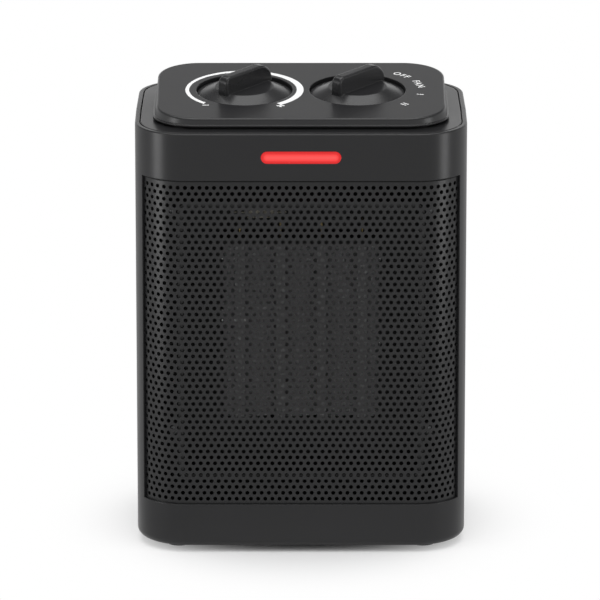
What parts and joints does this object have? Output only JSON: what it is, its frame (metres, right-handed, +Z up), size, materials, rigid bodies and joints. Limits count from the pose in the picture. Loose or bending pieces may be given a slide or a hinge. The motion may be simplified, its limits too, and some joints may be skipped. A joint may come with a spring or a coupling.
{
  "type": "ceramic space heater",
  "caption": "Upright tabletop ceramic fan heater with a perforated wrap-round grille, a sloped control panel with dial knobs, a tip-over switch and rubber feet.",
  "frame": {"origin": "on the floor, in the middle of the casing's plan", "axes": "+X to the viewer's right, +Y from front to back, +Z up"},
  "size_m": [0.175, 0.117, 0.2511],
  "materials": {
    "casing_plastic": "fine satin mould texture, near black",
    "panel_plastic": "satin moulded, near black",
    "knob_plastic": "smooth satin, near black",
    "grille_metal": "perforated sheet, satin dark grey paint",
    "red_lens": "translucent red, lit from behind",
    "white_plastic": "natural nylon",
    "board": "circuit board",
    "steel": "zinc plated",
    "black_resin": "moulded phenolic",
    "heat_resin": "glass filled heat resistant resin",
    "aluminium": "mill finish",
    "ceramic": "fired ceramic",
    "brass": "plain",
    "impeller_plastic": "moulded",
    "lamination": "stacked silicon steel",
    "winding": "taped enamelled copper",
    "bronze": "sintered, oil filled",
    "rubber": "plain black",
    "filter_mesh": "open woven mesh"
  },
  "bodies": {
    "housing": {"front_shell": "casing_plastic", "rear_shell": "casing_plastic", "top_cover": "casing_plastic", "control_panel": "panel_plastic", "front_grille": "grille_metal", "indicator_lens": "red_lens", "lamp_holder": "white_plastic", "lamp_board": "board", "thermostat_body": "black_resin", "mode_switch_body": "black_resin", "control_screws": "steel", "panel_screws": "steel", "shell_screws": "steel", "air_duct": "heat_resin", "duct_screws": "steel", "heater_frame": "heat_resin", "ptc_tubes": "aluminium", "ptc_stones": "ceramic", "heater_terminals": "brass", "heater_fins": "aluminium", "thermal_cutoff": "black_resin", "thermal_fuse": "ceramic", "fan_shroud": "heat_resin", "motor_mount": "heat_resin", "mount_screws": "steel", "stator_core": "lamination", "stator_coil": "winding", "bearing_bracket_front": "aluminium", "bearing_bracket_rear": "aluminium", "bearings": "bronze", "motor_screws": "steel", "rear_grille": "casing_plastic", "inlet_filter": "filter_mesh", "grip_insert": "casing_plastic", "cord_bush": "rubber", "rubber_feet": "rubber", "tip_switch_housing": "white_plastic", "tip_microswitch": "black_resin", "tip_spring": "steel", "terminal_block": "white_plastic"},
    "thermostat_dial": {"thermostat_knob": "knob_plastic", "thermostat_spindle": "steel"},
    "mode_dial": {"mode_knob": "knob_plastic", "mode_spindle": "steel"},
    "fan_rotor": {"impeller": "impeller_plastic", "motor_shaft": "steel", "rotor_core": "lamination"},
    "tip_button": {"tip_plunger": "white_plastic"}
  },
  "joints": [
    {"name": "thermostat_turn", "type": "hinge", "parent": "housing", "child": "thermostat_dial", "pos_m": [-0.03, 0.0006, 0.23915], "axis": [0, -0.0802, 0.9968], "range_deg": [-100, 178]},
    {"name": "mode_turn", "type": "hinge", "parent": "housing", "child": "mode_dial", "pos_m": [0.03, 0.0006, 0.23915], "axis": [0, -0.0802, 0.9968], "range_deg": [-90, 0]},
    {"name": "fan_spin", "type": "hinge", "parent": "housing", "child": "fan_rotor", "pos_m": [0, 0.02, 0.1158], "axis": [0, 1, 0], "continuous": true},
    {"name": "tip_slide", "type": "slide", "parent": "housing", "child": "tip_button", "axis": [0, 0, 1], "range_m": [-0.004, 0], "stiffness_N_per_m": 80, "springref_m": -0.012, "deforming": ["tip_spring"]}
  ]
}
